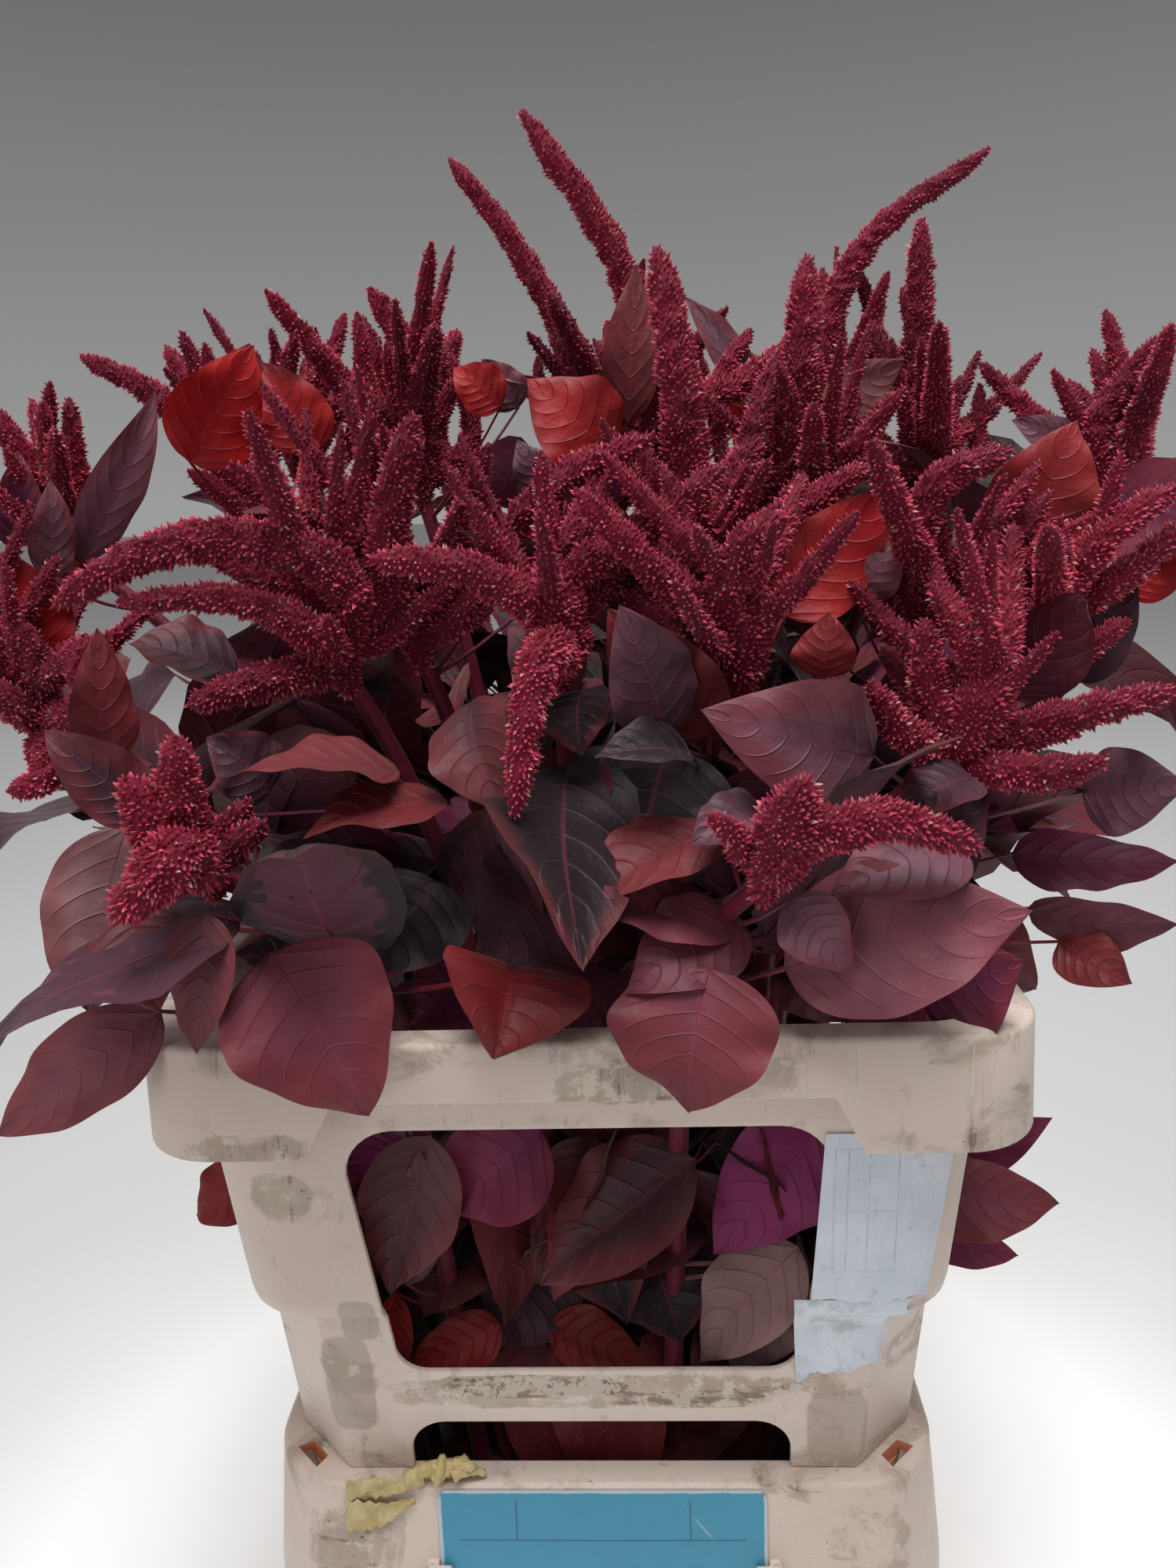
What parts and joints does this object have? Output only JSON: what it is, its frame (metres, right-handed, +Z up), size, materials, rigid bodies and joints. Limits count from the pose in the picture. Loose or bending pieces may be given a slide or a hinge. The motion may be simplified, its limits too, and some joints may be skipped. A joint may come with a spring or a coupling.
{
  "type": "potted amaranth",
  "caption": "Cut crimson amaranth stems with purple leaves, standing in water in a rectangular plastic flower bucket with an open-windowed collar on its rim.",
  "frame": {"origin": "middle of the bucket's underside, on the surface it stands on", "axes": "+Z up, +X right and +Y away from the viewer of the picture, who faces a short side of the container"},
  "size_m": [0.5564, 0.5752, 0.8333],
  "materials": {
    "plastic": "worn off-white moulded plastic with grime and scuffs",
    "water": "still, slightly cloudy water",
    "card": "blue coated card with plain ruled lines",
    "label": "white paper label, torn at its lower edge",
    "tape": "yellowed clear tape",
    "leafy_stem": "purple-maroon leaves with raised veins and a satin bloom, magenta stems",
    "flower": "crimson florets packed in tapering spikes"
  },
  "bodies": {
    "root": {"bucket": "plastic", "collar": "plastic", "water": "water", "card": "card", "sticker": "label", "old_sticker": "label", "tape": "tape", "stem_01": "leafy_stem", "stem_02": "leafy_stem", "stem_03": "leafy_stem", "stem_04": "leafy_stem", "stem_05": "leafy_stem", "stem_06": "leafy_stem", "stem_07": "leafy_stem", "stem_08": "leafy_stem", "stem_09": "leafy_stem", "stem_10": "leafy_stem", "stem_11": "leafy_stem", "stem_12": "leafy_stem", "stem_13": "leafy_stem", "stem_14": "leafy_stem", "stem_15": "leafy_stem", "stem_16": "leafy_stem", "stem_17": "leafy_stem", "stem_18": "leafy_stem", "stem_19": "leafy_stem", "stem_20": "leafy_stem", "stem_21": "leafy_stem", "stem_22": "leafy_stem", "stem_23": "leafy_stem", "stem_24": "leafy_stem", "stem_25": "leafy_stem", "stem_26": "leafy_stem", "head_01": "flower", "head_02": "flower", "head_03": "flower", "head_04": "flower", "head_05": "flower", "head_06": "flower", "head_07": "flower", "head_08": "flower", "head_09": "flower", "head_10": "flower", "head_11": "flower", "head_12": "flower", "head_13": "flower", "head_14": "flower", "head_15": "flower", "head_16": "flower", "head_17": "flower", "head_18": "flower", "head_19": "flower", "head_20": "flower", "head_21": "flower", "head_22": "flower", "head_23": "flower", "head_24": "flower", "head_25": "flower", "head_26": "flower"}
  },
  "joints": []
}
